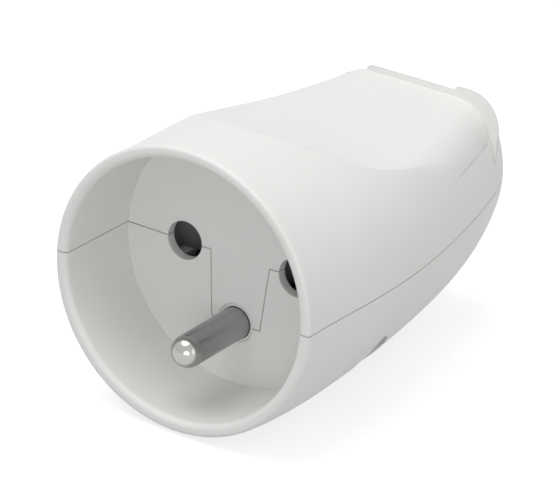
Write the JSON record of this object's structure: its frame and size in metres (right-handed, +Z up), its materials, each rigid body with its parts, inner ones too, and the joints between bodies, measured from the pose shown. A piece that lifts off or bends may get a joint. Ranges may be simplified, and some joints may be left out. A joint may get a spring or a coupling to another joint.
{
  "type": "in-line cable socket",
  "caption": "White in-line mains cable socket in two screwed half shells, with a round recess, earth pin, sprung shutter behind the apertures and a cord inlet at the back.",
  "frame": {"origin": "centre of the face plate that the plug seats on, on the axis of the round recess and midway between the two apertures", "axes": "-Y out of the mouth towards the plug, +Y towards the cord inlet, +X along the line of the two apertures, +Z up with the grip pad on top; the shells part on Z = 0"},
  "size_m": [0.0436, 0.067, 0.0432],
  "materials": {
    "housing_plastic": "smooth satin white moulding",
    "shutter_plastic": "satin dark grey moulding",
    "clamp_plastic": "satin white moulding",
    "pin_nickel": "bright nickel plate, lightly drawn along its length",
    "screw_steel": "zinc-plated steel",
    "clip_steel": "tempered spring steel",
    "spring_steel": "bright spring wire",
    "contact_brass": "rolled brass strip",
    "terminal_brass": "machined brass"
  },
  "bodies": {
    "housing": {"upper_shell": "housing_plastic", "lower_shell": "housing_plastic", "casing_screw_front_left": "screw_steel", "casing_screw_front_right": "screw_steel", "casing_screw_rear_left": "screw_steel", "casing_screw_rear_right": "screw_steel", "earth_pin": "pin_nickel", "earth_terminal": "terminal_brass", "earth_terminal_screw": "screw_steel", "live_contact": "contact_brass", "live_contact_clip": "clip_steel", "live_terminal": "terminal_brass", "live_terminal_screw": "screw_steel", "neutral_contact": "contact_brass", "neutral_contact_clip": "clip_steel", "neutral_terminal": "terminal_brass", "neutral_terminal_screw": "screw_steel", "shutter_spring": "spring_steel", "cord_clamp": "clamp_plastic", "clamp_screw_left": "screw_steel", "clamp_screw_right": "screw_steel"},
    "shutter": {"shutter": "shutter_plastic"}
  },
  "joints": [
    {"name": "shutter_slide", "type": "slide", "parent": "housing", "child": "shutter", "axis": [0, 0, 1], "range_m": [0, 0.0065], "stiffness_N_per_m": 150, "springref_m": -0.003, "deforming": ["shutter_spring"]}
  ]
}
